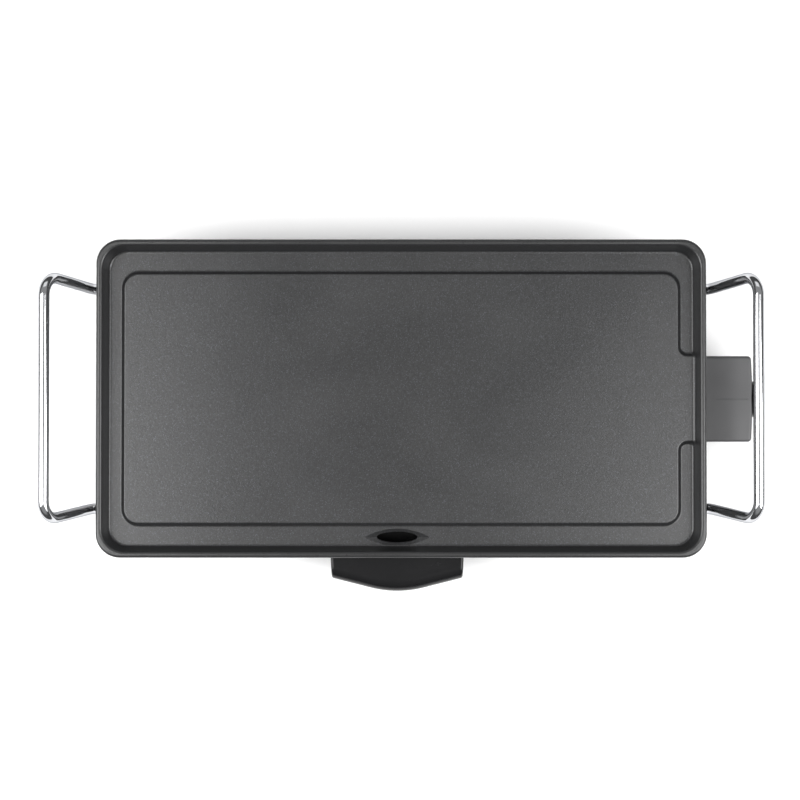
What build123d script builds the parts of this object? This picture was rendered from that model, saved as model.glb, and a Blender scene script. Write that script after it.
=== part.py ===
from build123d import *
import os

os.makedirs("parts", exist_ok=True)

# Electric griddle with a plug-in controller and a grease drawer. Millimetres, +Z up, +X to the
# controller's end, -Y to the drawer's front. The origin is on the floor, in the middle of the
# whole object's footprint; the plate's own centre line stands at PLATE_X, PLATE_Y.
PLATE_X, PLATE_Y = -5.2, 13.0

# ---------------------------------------------------------------- driving dimensions
# Plate
PLATE_LENGTH, PLATE_WIDTH, PLATE_CORNER = 450.0, 235.0, 18.0
RIM_TOP, SURFACE_Z, CHANNEL_Z = 84.0, 73.5, 70.0     # rim crown, cooking surface, grease channel
POCKET_Z, UNDERSIDE_Z = 69.0, 65.5                   # underside inside and outside the pocket
POCKET_LENGTH, POCKET_WIDTH, OUTER_DRAFT = 404.0, 180.0, 3.1
RIM_CROWN, RIM_FOOT, RIM_SLOPE = 4.6, 7.8, 13.0       # rim thickness at crown and foot, inner draft
SURFACE_LENGTH, SURFACE_WIDTH, SURFACE_CORNER = 415.0, 188.8, 12.5   # raised surface at its foot
BRIDGE_WIDTH = 67.0                                  # where the surface runs out to the rim
DRAIN_X, DRAIN_Y = -3.0, -103.0
DRAIN_LENGTH, DRAIN_WIDTH, SPOUT_Z = 30.5, 8.1, 60.0
DIP_LENGTH, DIP_WIDTH, DIP_DEPTH = 49.5, 13.0, 2.5    # dip round the drain hole, at the channel's floor
BOSS_R, SHROUD_BOSS_R, WELL_R = 5.0, 6.0, 8.0         # bosses under the plate

# Heating element and plug axis
ELEMENT_R, ELEMENT_Z = 3.25, 63.5
ELEMENT_Y, ELEMENT_LEFT, ELEMENT_RIGHT = 56.0, -165.0, 122.0
RIB_Z, RIB_WIDTH = 60.0, 13.0
LOOP_START, TUBE_DROP_X = 137.0, 152.0               # where the sheath turns down to the pins
AXIS_Z = 46.0                                        # height of probe, pins and dial
WELL_START, WELL_END = 96.0, 157.0                   # casting that holds the probe
PIN_Y, PIN_R, PIN_END = 16.0, 2.0, 193.0
INSULATOR_R, INSULATOR_LENGTH = 4.2, 9.0
TUBE_END = 158.5                                     # where the element's sheath stops
PROBE_R, PROBE_TIP, PROBE_END = 3.2, 100.0, 208.0

# Handles
WIRE_R, HANDLE_BEND = 4.0, 13.0
GRIP_X, GRIP_Y, GRIP_Z = 258.0, 91.0, 108.0
ARM_X, ARM_Y, ARM_Z = 230.0, 82.0, 56.0
WIRE_END = 177.5

# Feet
FOOT_X, FOOT_Y, FOOT_BASE = 170.0, 82.0, 3.0
FOOT_HEAD_Z = 46.0                                   # underside of the block that holds the wire
FOOT_SHOULDER_Z = 48.0                               # seat of the foot screw's head
FOOT_BORE_R, GRUB_X = 5.2, 193.0
COLUMN_LENGTH, COLUMN_WIDTH = 30.0, 26.0
BLOCK_LENGTH, BLOCK_WIDTH, BLOCK_SHIFT = 50.0, 34.0, 6.0   # block under the plate, set outwards
PAD_R, PAD_PEG = 11.0, 9.0

# Drawer
DRAWER_WIDTH, DRAWER_TOP, DRAWER_BASE = 100.0, 63.5, 32.0
FRONT_BACK, FRONT_CORNER, FRONT_POINT = -113.0, -134.3, -146.8   # y of the front's back, corners, point
FRONT_ROUND, FRONT_NOSE, FRONT_WALL = 80.0, 9.0, 3.0
TRAY_WIDTH, TRAY_FRONT, TRAY_BACK, TRAY_TOP, TRAY_WALL = 86.0, -116.0, -22.0, 57.0, 2.0
FLANGE_Z, FLANGE_REACH = 53.0, 48.0
RAIL_X, RAIL_FRONT, RAIL_BACK = 48.6, -110.0, -24.0
RAIL_LIP, RAIL_FLANGE, RAIL_SHEET = 3.6, 14.0, 1.5

# Controller
CASE_START, CASE_END, CASE_WIDTH = 200.5, 264.0, 64.5
CASE_TOP, CASE_BASE, CASE_WALL, PARTING_Z = 58.0, 30.0, 2.5, 46.1
NOSE_START, NOSE_WIDTH, NOSE_TOP, NOSE_BASE = 172.0, 51.0, 56.0, 37.0
SHROUD_START, SHROUD_END, SHROUD_WIDTH = 160.0, 200.0, 58.0
SHROUD_TOP, SHROUD_BASE, SHEET = 62.0, 34.0, 1.2
DIAL_R, DIAL_FACE, DIAL_BACK = 13.5, 272.4, 264.6
SPINDLE_R = 3.0
GLAND_X, GLAND_BORE, GLAND_R = 246.0, 3.6, 6.0
CASE_BOW, CASE_CORNER, CASE_EDGE = 1.0, 3.0, 2.2      # end's bow, plan corners, top and bottom edges
CASE_SCREWS = ((207, 24.5), (207, -24.5), (247, -24.5))
POST_R, POST_CORE_R, POST_BORE_R, COUNTERBORE_R, COUNTERBORE = 3.4, 1.35, 1.7, 3.0, 4.0
POINTER_LENGTH, POINTER_WIDTH, POINTER_DEPTH, POINTER_INSET = 24.0, 1.0, 0.6, 16.0
LAMP_Y, LAMP_Z, LENS_R = -14.0, 50.5, 2.5
GLAND_LENGTH, GLAND_LIP = 9.0, 1.6
CARRIER_START, CARRIER_END, SOCKET_END, SOCKET_R = 176.0, 188.0, 198.0, 3.2
CARRIER_WIDTH, CARRIER_HEIGHT = 45.0, 12.5
FRAME_START, FRAME_END, FRAME_WIDTH, FRAME_Z, FRAME_SHEET = 206.0, 246.0, 20.0, 35.0, 1.2
STACK_X, STACK_HEIGHT, BLADE_LENGTH, BLADE_SHEET, BLADE_GAP = 214.0, 3.0, 24.0, 0.4, 2.0
CONTACT_R, CONTACT_HEIGHT = 1.6, 0.7
LAMP_LENGTH = 11.0
SPINDLE_START = 228.0
LEAD_R, LEAD_BEND, LEAD_OVER_Z = 1.1, 2.5, 52.5
FLUTES, FLUTE_R, DISH_R, DISH_DEPTH = 24, 1.1, 9.5, 0.8

# Screws and fits
FOOT_SCREW_R, SMALL_SCREW_R, CASE_SCREW_R = 2.45, 1.95, 1.3
FIT, LOOSE = 0.05, 0.25                              # radial clearance of a close and a free hole

SIDES = (("left", -1), ("right", 1))
CORNERS = (("front_left", -1, -1), ("front_right", 1, -1), ("rear_left", -1, 1), ("rear_right", 1, 1))
RAIL_SCREWS = [(DRAIN_X + sx * (RAIL_X + 8.4), y) for _, sx in SIDES for y in (-98, -36)]
SHROUD_SCREWS = ((180, 33.5), (180, -33.5))
ELEMENT_LOOP = [
    (LOOP_START, PIN_Y),
    (ELEMENT_RIGHT, PIN_Y),
    (ELEMENT_RIGHT, ELEMENT_Y),
    (ELEMENT_LEFT, ELEMENT_Y),
    (ELEMENT_LEFT, -ELEMENT_Y),
    (ELEMENT_RIGHT, -ELEMENT_Y),
    (ELEMENT_RIGHT, -PIN_Y),
    (LOOP_START, -PIN_Y),
]
ELEMENT_BENDS = [12, 14, 18, 18, 14, 12]
EARTH_CLIP_RISE = ((163, 0.3), (176, 0.3), (184, 1.3), (190, 0.5))
GLAND_INNER = CASE_WIDTH / 2 - GLAND_LENGTH
LEADS = {
    "live": (
        (SOCKET_END, PIN_Y, AXIS_Z),
        (234, PIN_Y, AXIS_Z),
        (GLAND_X + 1, GLAND_INNER - 4, AXIS_Z - 1.5),
        (GLAND_X + 1, GLAND_INNER, AXIS_Z - 1.5),
    ),
    "neutral": (
        (SOCKET_END, -PIN_Y, AXIS_Z),
        (203, -PIN_Y, AXIS_Z),
        (208, -10, LEAD_OVER_Z),
        (214, 8, LEAD_OVER_Z),
        (238, 12, LEAD_OVER_Z),
        (GLAND_X - 1, GLAND_INNER - 4, AXIS_Z + 2),
        (GLAND_X - 1, GLAND_INNER, AXIS_Z + 2),
    ),
}


# ---------------------------------------------------------------- planes on the plate's centre line
def level(z):
    """Horizontal plane at height z; its x and y are measured from the plate's centre."""
    return Plane(origin=(PLATE_X, PLATE_Y, z))


def facing_x(x):
    """Upright plane at x, looking along +X; its own axes are Y and Z."""
    return Plane(origin=(PLATE_X + x, PLATE_Y, 0), x_dir=(0, 1, 0), z_dir=(1, 0, 0))


def facing_front(y):
    """Upright plane at y, looking along -Y; its own axes are X and Z."""
    return Plane(origin=(PLATE_X, PLATE_Y + y, 0), x_dir=(1, 0, 0), z_dir=(0, -1, 0))


def at(x, y, z):
    """A point given from the plate's centre line."""
    return (PLATE_X + x, PLATE_Y + y, z)


def lens(length, width):
    """A pointed ellipse: two equal arcs that meet on the X axis."""
    with BuildSketch() as outline:
        with BuildLine():
            ThreePointArc((-length / 2, 0), (0, width / 2), (length / 2, 0))
            ThreePointArc((length / 2, 0), (0, -width / 2), (-length / 2, 0))
        make_face()
    return outline.sketch


# ---------------------------------------------------------------- griddle plate
# The space inside the rim: a drafted block, less the raised surface and the bridge that joins it
# to the rim over the plug. Its edges are rounded here, where each is a plain edge of one block.
with BuildPart() as pan_space:
    with BuildSketch(level(CHANNEL_Z)):
        RectangleRounded(PLATE_LENGTH - 2 * RIM_FOOT, PLATE_WIDTH - 2 * RIM_FOOT, PLATE_CORNER - 4)
    extrude(amount=RIM_TOP - CHANNEL_Z, taper=-RIM_SLOPE)
    with BuildSketch(level(CHANNEL_Z)) as surface_outline:
        RectangleRounded(SURFACE_LENGTH, SURFACE_WIDTH, SURFACE_CORNER)
        with Locations((PLATE_LENGTH / 4 + 3, 0)):
            Rectangle(PLATE_LENGTH / 2, BRIDGE_WIDTH)
        fillet(surface_outline.vertices().group_by(Axis.X)[-2], radius=5)
    extrude(amount=SURFACE_Z - CHANNEL_Z, taper=30, mode=Mode.SUBTRACT)
    surface_edges = pan_space.edges().filter_by_position(Axis.Z, SURFACE_Z, SURFACE_Z)
    fillet(surface_edges.sort_by(Axis.X)[:-1], radius=1.5)
    upright_edges = pan_space.edges().filter_by_position(
        Axis.Z, CHANNEL_Z, SURFACE_Z, inclusive=(False, False)
    )
    fillet(upright_edges.sort_by(Axis.X)[-4:], radius=3)
    fillet(pan_space.faces().sort_by(Axis.Z)[0].edges(), radius=2)

# The pointed dip that leads the fat to the hole, and the oval hole down through the spout.
with BuildPart() as drain:
    with BuildSketch(level(CHANNEL_Z - DIP_DEPTH)):
        with Locations((DRAIN_X, DRAIN_Y)):
            add(lens(DRAIN_LENGTH, DRAIN_WIDTH - 1))
    with BuildSketch(level(CHANNEL_Z + 0.1)):
        with Locations((DRAIN_X, DRAIN_Y)):
            add(lens(DIP_LENGTH, DIP_WIDTH))
    loft()
    with BuildSketch(level(SPOUT_Z)):
        with Locations((DRAIN_X, DRAIN_Y)):
            Ellipse(DRAIN_LENGTH / 2, DRAIN_WIDTH / 2)
    extrude(amount=CHANNEL_Z - SPOUT_Z)

with BuildPart() as griddle_plate:
    with BuildSketch(level(UNDERSIDE_Z)):
        RectangleRounded(PLATE_LENGTH - 2, PLATE_WIDTH - 2, PLATE_CORNER - 1)
    extrude(amount=RIM_TOP - UNDERSIDE_Z, taper=-OUTER_DRAFT)
    fillet(griddle_plate.faces().sort_by(Axis.Z)[0].edges(), radius=3)
    add(pan_space.part, mode=Mode.SUBTRACT)
    fillet(griddle_plate.faces().sort_by(Axis.Z)[-1].edges(), radius=RIM_CROWN / 2 - 0.08)
    # pocket under the raised surface
    with BuildSketch(level(UNDERSIDE_Z)):
        RectangleRounded(POCKET_LENGTH, POCKET_WIDTH, 12)
    extrude(amount=POCKET_Z - UNDERSIDE_Z, mode=Mode.SUBTRACT)
    # seats for the feet
    with BuildSketch(level(UNDERSIDE_Z)):
        with Locations(*[(sx * (FOOT_X + BLOCK_SHIFT), sy * FOOT_Y) for _, sx, sy in CORNERS]):
            RectangleRounded(BLOCK_LENGTH + 2, BLOCK_WIDTH + 2, 4)
    extrude(amount=POCKET_Z - UNDERSIDE_Z + 0.5)
    # rib that holds the heating element
    with BuildSketch(level(RIB_Z)):
        with BuildLine() as rib_route:
            FilletPolyline(*ELEMENT_LOOP, radius=ELEMENT_BENDS)
        trace(line_width=RIB_WIDTH)
    extrude(amount=POCKET_Z - RIB_Z + 0.5)
    # drain spout, drawer rail bosses, shroud bosses and probe well
    with BuildSketch(level(SPOUT_Z)):
        with Locations((DRAIN_X, DRAIN_Y)):
            SlotOverall(DRAIN_LENGTH + 9, DRAIN_WIDTH + 6.3)
        with Locations(*RAIL_SCREWS):
            Circle(BOSS_R)
    extrude(amount=POCKET_Z - SPOUT_Z)
    with BuildSketch(level(SHROUD_TOP)):
        with Locations(*SHROUD_SCREWS):
            Circle(SHROUD_BOSS_R)
    extrude(amount=POCKET_Z - SHROUD_TOP + 0.5)
    with BuildSketch(facing_x(WELL_START)):
        with Locations((0, AXIS_Z)):
            Circle(WELL_R)
        with Locations((0, (AXIS_Z + POCKET_Z + 0.5) / 2)):
            Rectangle(2 * WELL_R, POCKET_Z + 0.5 - AXIS_Z)
    extrude(amount=WELL_END - WELL_START)
    # holes: drain, foot screws, rail screws, shroud screws, probe
    add(drain.part, mode=Mode.SUBTRACT)
    with BuildSketch(level(UNDERSIDE_Z)):
        with Locations(*[(sx * FOOT_X, sy * FOOT_Y) for _, sx, sy in CORNERS]):
            Circle(FOOT_SCREW_R + FIT)
    extrude(amount=6, mode=Mode.SUBTRACT)
    with BuildSketch(level(SPOUT_Z)):
        with Locations(*RAIL_SCREWS):
            Circle(SMALL_SCREW_R + FIT)
    extrude(amount=6.5, mode=Mode.SUBTRACT)
    with BuildSketch(level(SHROUD_TOP)):
        with Locations(*SHROUD_SCREWS):
            Circle(SMALL_SCREW_R + FIT)
    extrude(amount=7, mode=Mode.SUBTRACT)
    with BuildSketch(facing_x(PROBE_TIP - 1)):
        with Locations((0, AXIS_Z)):
            Circle(PROBE_R + 0.15)
    extrude(amount=WELL_END - PROBE_TIP + 1, mode=Mode.SUBTRACT)
    # groove of the element: open below, round at its top
    with BuildSketch(level(RIB_Z)):
        with BuildLine() as groove_route:
            FilletPolyline(*ELEMENT_LOOP, radius=ELEMENT_BENDS)
        trace(line_width=2 * (ELEMENT_R + FIT))
    extrude(amount=ELEMENT_Z - RIB_Z, mode=Mode.SUBTRACT)
    with BuildLine(level(ELEMENT_Z)) as groove_axis:
        FilletPolyline(*ELEMENT_LOOP, radius=ELEMENT_BENDS)
    with BuildSketch(Plane(origin=groove_axis.line @ 0, z_dir=groove_axis.line % 0)):
        Circle(ELEMENT_R + FIT)
    sweep(mode=Mode.SUBTRACT)
griddle_plate.part.label = "griddle_plate"
export_step(griddle_plate.part, "parts/griddle_plate.step")

# ---------------------------------------------------------------- heating element and its plug end
with BuildPart() as heating_element:
    with BuildLine() as element_route:
        FilletPolyline(
            at(TUBE_END, PIN_Y, AXIS_Z),
            at(TUBE_DROP_X, PIN_Y, AXIS_Z),
            *[at(x, y, ELEMENT_Z) for x, y in ELEMENT_LOOP],
            at(TUBE_DROP_X, -PIN_Y, AXIS_Z),
            at(TUBE_END, -PIN_Y, AXIS_Z),
            radius=[6, 8, *ELEMENT_BENDS, 8, 6],
        )
    with BuildSketch(Plane(origin=element_route.line @ 0, z_dir=element_route.line % 0)):
        Circle(ELEMENT_R)
    sweep()
heating_element.part.label = "heating_element"
export_step(heating_element.part, "parts/heating_element.step")

for number, y in ((1, PIN_Y), (2, -PIN_Y)):
    with BuildPart() as pin_insulator:
        with BuildSketch(facing_x(TUBE_END)):
            with Locations((y, AXIS_Z)):
                Circle(INSULATOR_R)
                Circle(PIN_R + FIT, mode=Mode.SUBTRACT)
        extrude(amount=INSULATOR_LENGTH)
        chamfer(pin_insulator.edges().filter_by(GeomType.CIRCLE).sort_by(Axis.X)[-1], length=0.6)
    pin_insulator.part.label = f"pin_insulator_{number}"
    export_step(pin_insulator.part, f"parts/pin_insulator_{number}.step")

    with BuildPart() as terminal_pin:
        with BuildSketch(facing_x(TUBE_END)):
            with Locations((y, AXIS_Z)):
                Circle(PIN_R)
        extrude(amount=PIN_END - TUBE_END)
        fillet(terminal_pin.edges().sort_by(Axis.X)[-1], radius=1.6)
    terminal_pin.part.label = f"terminal_pin_{number}"
    export_step(terminal_pin.part, f"parts/terminal_pin_{number}.step")

# Folded steel box round the pins, open to the controller, with two ears for its screws.
with BuildPart() as socket_shroud:
    with BuildSketch(facing_x(SHROUD_START)):
        with Locations((0, (SHROUD_TOP + SHROUD_BASE) / 2)):
            RectangleRounded(SHROUD_WIDTH, SHROUD_TOP - SHROUD_BASE, 3)
        with Locations((0, SHROUD_TOP - 2)):
            Rectangle(SHROUD_WIDTH, 4)
    extrude(amount=SHROUD_END - SHROUD_START)
    with BuildSketch(level(SHROUD_TOP)):
        with Locations(((SHROUD_START + SHROUD_END) / 2, 0)):
            RectangleRounded(22, SHROUD_WIDTH + 20, 4)
    extrude(amount=-SHEET)
    with BuildSketch(facing_x(SHROUD_START + SHEET)):
        with Locations((0, (SHROUD_TOP + SHROUD_BASE) / 2)):
            RectangleRounded(SHROUD_WIDTH - 2 * SHEET, SHROUD_TOP - SHROUD_BASE - 2 * SHEET, 1.8)
    extrude(amount=SHROUD_END - SHROUD_START, mode=Mode.SUBTRACT)
    with BuildSketch(facing_x(SHROUD_START)):
        with Locations((PIN_Y, AXIS_Z), (-PIN_Y, AXIS_Z)):
            Circle(INSULATOR_R + 0.2)
        with Locations((0, AXIS_Z)):
            Circle(PROBE_R + 0.8)
    extrude(amount=SHEET, mode=Mode.SUBTRACT)
    with BuildSketch(level(SHROUD_TOP)):
        with Locations(*SHROUD_SCREWS):
            Circle(SMALL_SCREW_R + LOOSE)
    extrude(amount=-SHEET, mode=Mode.SUBTRACT)
socket_shroud.part.label = "socket_shroud"
export_step(socket_shroud.part, "parts/socket_shroud.step")

with BuildPart() as earth_clip:
    with BuildSketch(facing_front(-3)):
        with BuildLine():
            Polyline(*[(x, SHROUD_BASE + SHEET + rise) for x, rise in EARTH_CLIP_RISE])
        trace(line_width=0.5)
    extrude(amount=-6)
earth_clip.part.label = "earth_clip"
export_step(earth_clip.part, "parts/earth_clip.step")

# ---------------------------------------------------------------- fastenings
def screw(head_plane, head_r, head_height, shank_r, shank_length, recess):
    """A round-headed screw on its own plane: the head below it, the shank above it, and a cross
    recess of the given width in the head."""
    with BuildPart() as fastener:
        with BuildSketch(head_plane):
            Circle(head_r)
        extrude(amount=-head_height)
        fillet(fastener.faces().sort_by(Axis.Z)[0].edges(), radius=head_height * 0.45)
        with BuildSketch(head_plane):
            Circle(shank_r)
        extrude(amount=shank_length)
        chamfer(fastener.faces().sort_by(Axis.Z)[-1].edges(), length=shank_r * 0.3)
        with BuildSketch(head_plane.offset(-head_height)):
            Rectangle(recess, recess / 4)
            Rectangle(recess / 4, recess)
        extrude(amount=head_height * 0.55, mode=Mode.SUBTRACT)
    return fastener.part


for number, (x, y) in enumerate(SHROUD_SCREWS, start=1):
    seat = level(SHROUD_TOP - SHEET).move(Location((x, y, 0)))
    shroud_screw = screw(seat, 3.6, 2.4, SMALL_SCREW_R, 7, 3.6)
    shroud_screw.label = f"shroud_screw_{number}"
    export_step(shroud_screw, f"parts/shroud_screw_{number}.step")

# ---------------------------------------------------------------- handles
# One wire each: out of the feet under the plate, up past the rim, and across as the grip.
for side, sx in SIDES:
    with BuildPart() as handle:
        with BuildLine() as wire:
            FilletPolyline(
                at(sx * WIRE_END, ARM_Y, ARM_Z),
                at(sx * ARM_X, ARM_Y, ARM_Z),
                at(sx * GRIP_X, GRIP_Y, GRIP_Z),
                at(sx * GRIP_X, -GRIP_Y, GRIP_Z),
                at(sx * ARM_X, -ARM_Y, ARM_Z),
                at(sx * WIRE_END, -ARM_Y, ARM_Z),
                radius=HANDLE_BEND,
            )
        with BuildSketch(Plane(origin=wire.line @ 0, z_dir=wire.line % 0)):
            Circle(WIRE_R)
        sweep()
    handle.part.label = f"handle_{side}"
    export_step(handle.part, f"parts/handle_{side}.step")

# ---------------------------------------------------------------- feet
for corner, sx, sy in CORNERS:
    foot_x, foot_y = sx * FOOT_X, sy * FOOT_Y
    with BuildPart() as foot:
        with BuildSketch(level(FOOT_BASE)):
            with Locations((foot_x, foot_y)):
                RectangleRounded(COLUMN_LENGTH, COLUMN_WIDTH, 9)
        extrude(amount=FOOT_HEAD_Z - FOOT_BASE, taper=-5)
        fillet(foot.faces().sort_by(Axis.Z)[0].edges(), radius=2)
        with BuildSketch(level(FOOT_HEAD_Z)):
            with Locations((foot_x + sx * BLOCK_SHIFT, foot_y)):
                RectangleRounded(BLOCK_LENGTH, BLOCK_WIDTH, 5)
        extrude(amount=UNDERSIDE_Z - FOOT_HEAD_Z)
        block_edges = foot.edges().filter_by_position(Axis.Z, FOOT_HEAD_Z, FOOT_HEAD_Z)
        fillet(block_edges.sort_by(SortBy.LENGTH)[-4:], radius=1.5)
        # wire hole from the outer end, foot screw from below, grub screw from below
        block_end = FOOT_X + BLOCK_SHIFT + BLOCK_LENGTH / 2
        with BuildSketch(facing_x(sx * block_end)):
            with Locations((foot_y, ARM_Z)):
                Circle(WIRE_R + 0.1)
        extrude(amount=-sx * (block_end - WIRE_END + 0.5), mode=Mode.SUBTRACT)
        with BuildSketch(level(FOOT_BASE)):
            with Locations((foot_x, foot_y)):
                Circle(FOOT_BORE_R)
        extrude(amount=FOOT_SHOULDER_Z - FOOT_BASE, mode=Mode.SUBTRACT)
        with BuildSketch(level(FOOT_SHOULDER_Z)):
            with Locations((foot_x, foot_y)):
                Circle(FOOT_SCREW_R + LOOSE)
        extrude(amount=UNDERSIDE_Z - FOOT_SHOULDER_Z, mode=Mode.SUBTRACT)
        with BuildSketch(level(FOOT_HEAD_Z)):
            with Locations((sx * GRUB_X, foot_y)):
                Circle(SMALL_SCREW_R + FIT)
        extrude(amount=ARM_Z - FOOT_HEAD_Z, mode=Mode.SUBTRACT)
    foot.part.label = f"foot_{corner}"
    export_step(foot.part, f"parts/foot_{corner}.step")

    with BuildPart() as foot_pad:
        with BuildSketch(level(0)):
            with Locations((foot_x, foot_y)):
                Circle(PAD_R)
        extrude(amount=FOOT_BASE)
        fillet(foot_pad.faces().sort_by(Axis.Z)[0].edges(), radius=0.8)
        with BuildSketch(level(FOOT_BASE)):
            with Locations((foot_x, foot_y)):
                Circle(FOOT_BORE_R - FIT)
        extrude(amount=PAD_PEG)
        chamfer(foot_pad.faces().sort_by(Axis.Z)[-1].edges(), length=0.8)
    foot_pad.part.label = f"foot_pad_{corner}"
    export_step(foot_pad.part, f"parts/foot_pad_{corner}.step")

    seat = level(FOOT_SHOULDER_Z).move(Location((foot_x, foot_y, 0)))
    foot_screw = screw(seat, 4.6, 3.4, FOOT_SCREW_R, 23, 4.6)
    foot_screw.label = f"foot_screw_{corner}"
    export_step(foot_screw, f"parts/foot_screw_{corner}.step")

    with BuildPart() as handle_screw:
        with BuildSketch(level(FOOT_HEAD_Z + 0.3)):
            with Locations((sx * GRUB_X, foot_y)):
                Circle(SMALL_SCREW_R)
        extrude(amount=ARM_Z - WIRE_R - FOOT_HEAD_Z - 0.35)
        with BuildSketch(level(FOOT_HEAD_Z + 0.3)):
            with Locations((sx * GRUB_X, foot_y)):
                RegularPolygon(1.1, 6)
        extrude(amount=2.2, mode=Mode.SUBTRACT)
    handle_screw.part.label = f"handle_screw_{corner}"
    export_step(handle_screw.part, f"parts/handle_screw_{corner}.step")

# ---------------------------------------------------------------- drawer rails
for side, sx in SIDES:
    web_x, flange_x = DRAIN_X + sx * (RAIL_X + RAIL_SHEET / 2), DRAIN_X + sx * (RAIL_X + RAIL_FLANGE)
    with BuildPart() as drawer_rail:
        with BuildSketch(facing_front(RAIL_FRONT)):
            with BuildLine():
                Polyline(
                    (DRAIN_X + sx * (RAIL_X - RAIL_LIP), FLANGE_Z - 1.1),
                    (web_x, FLANGE_Z - 1.1),
                    (web_x, SPOUT_Z - RAIL_SHEET / 2),
                    (flange_x, SPOUT_Z - RAIL_SHEET / 2),
                )
            trace(line_width=RAIL_SHEET)
        extrude(amount=RAIL_FRONT - RAIL_BACK)
        with BuildSketch(level(SPOUT_Z)):
            with Locations(*[spot for spot in RAIL_SCREWS if (spot[0] - DRAIN_X) * sx > 0]):
                Circle(SMALL_SCREW_R + LOOSE)
        extrude(amount=-2 * RAIL_SHEET, mode=Mode.SUBTRACT)
    drawer_rail.part.label = f"drawer_rail_{side}"
    export_step(drawer_rail.part, f"parts/drawer_rail_{side}.step")

for number, (x, y) in enumerate(RAIL_SCREWS, start=1):
    seat = level(SPOUT_Z - RAIL_SHEET).move(Location((x, y, 0)))
    rail_screw = screw(seat, 3.6, 2.4, SMALL_SCREW_R, 7.5, 3.6)
    rail_screw.label = f"rail_screw_{number}"
    export_step(rail_screw, f"parts/rail_screw_{number}.step")

# ---------------------------------------------------------------- drip drawer
def front_outline(inset):
    """The drawer front seen from above, drawn inwards by inset: sides that close in a little, then
    two straights that meet at a blunt point."""
    half = DRAWER_WIDTH / 2
    with BuildSketch() as outline:
        with BuildLine():
            Polyline(
                (DRAIN_X - half, FRONT_BACK),
                (DRAIN_X - half + 1, FRONT_CORNER),
                (DRAIN_X, FRONT_POINT),
                (DRAIN_X + half - 1, FRONT_CORNER),
                (DRAIN_X + half, FRONT_BACK),
                close=True,
            )
        make_face()
        if inset:
            offset(amount=-inset, kind=Kind.INTERSECTION)
        fillet(outline.vertices().sort_by(Axis.Y)[0], radius=FRONT_ROUND)
    return outline.sketch


with BuildPart() as front_hollow:
    with BuildSketch(level(DRAWER_BASE)):
        add(front_outline(FRONT_WALL))
    extrude(amount=DRAWER_TOP - DRAWER_BASE - FRONT_WALL)
    front_edges = front_hollow.faces().sort_by(Axis.Z)[-1].edges().sort_by(Axis.Y)[:3]
    fillet(front_edges, radius=FRONT_NOSE - FRONT_WALL)

with BuildPart() as tray_space:
    with BuildSketch(level(DRAWER_BASE + TRAY_WALL)):
        with Locations((DRAIN_X, (FRONT_BACK + TRAY_BACK - TRAY_WALL) / 2)):
            RectangleRounded(TRAY_WIDTH - 2 * TRAY_WALL, TRAY_BACK - TRAY_WALL - FRONT_BACK, 4)
    extrude(amount=TRAY_TOP - DRAWER_BASE)
    fillet(tray_space.faces().sort_by(Axis.Z)[0].edges(), radius=3)

with BuildPart() as drip_drawer:
    with BuildSketch(level(DRAWER_BASE)):
        add(front_outline(0))
    extrude(amount=DRAWER_TOP - DRAWER_BASE)
    fillet(drip_drawer.faces().sort_by(Axis.Z)[-1].edges().sort_by(Axis.Y)[:3], radius=FRONT_NOSE)
    side_edges = drip_drawer.faces().sort_by(Axis.Z)[-1].edges().sort_by(Axis.X)
    fillet([side_edges[0], side_edges[-1]], radius=2)
    add(front_hollow.part, mode=Mode.SUBTRACT)
    # tray behind the front, open at the top, with a flange along each side
    with BuildSketch(level(DRAWER_BASE)):
        with Locations((DRAIN_X, (TRAY_FRONT + TRAY_BACK) / 2)):
            RectangleRounded(TRAY_WIDTH, TRAY_BACK - TRAY_FRONT, 6)
    extrude(amount=TRAY_TOP - DRAWER_BASE)
    with BuildSketch(level(FLANGE_Z)):
        with Locations((DRAIN_X, (RAIL_FRONT + TRAY_BACK) / 2)):
            Rectangle(2 * FLANGE_REACH, TRAY_BACK - RAIL_FRONT)
    extrude(amount=TRAY_WALL)
    add(tray_space.part, mode=Mode.SUBTRACT)
drip_drawer.part.label = "drip_drawer"
export_step(drip_drawer.part, "parts/drip_drawer.step")

# ---------------------------------------------------------------- controller casing
def case_block(bottom, top, inset):
    """The casing's outline between two heights, drawn inwards by inset: flat at the plug end,
    bowed at the dial end, with the narrower nose in front of it."""
    with BuildPart() as block:
        with BuildSketch(level(bottom)) as outline:
            with BuildLine():
                Polyline(
                    (CASE_END - CASE_BOW, -CASE_WIDTH / 2),
                    (CASE_START, -CASE_WIDTH / 2),
                    (CASE_START, CASE_WIDTH / 2),
                    (CASE_END - CASE_BOW, CASE_WIDTH / 2),
                )
                ThreePointArc(
                    (CASE_END - CASE_BOW, CASE_WIDTH / 2),
                    (CASE_END, 0),
                    (CASE_END - CASE_BOW, -CASE_WIDTH / 2),
                )
            make_face()
            fillet(outline.vertices().group_by(Axis.X)[-1], radius=CASE_CORNER)
            fillet(outline.vertices().group_by(Axis.X)[0], radius=3)
            if inset:
                offset(amount=-inset)
        extrude(amount=top - bottom)
    return block.part


def nose_block(bottom, top, inset):
    """The casing's plug nose between two heights, drawn inwards by inset."""
    length, overlap = CASE_START - NOSE_START, 10
    with BuildPart() as block:
        with BuildSketch(level(bottom)):
            with Locations((NOSE_START + (length + overlap) / 2, 0)):
                RectangleRounded(length + overlap - 2 * inset, NOSE_WIDTH - 2 * inset, 3 - inset / 2)
        extrude(amount=top - bottom)
    return block.part


def case_screw_posts(bottom, top, radius):
    """Round posts at the casing screws."""
    with BuildPart() as posts:
        with BuildSketch(level(bottom)):
            with Locations(*CASE_SCREWS):
                Circle(radius)
        extrude(amount=top - bottom)
    return posts.part


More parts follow.
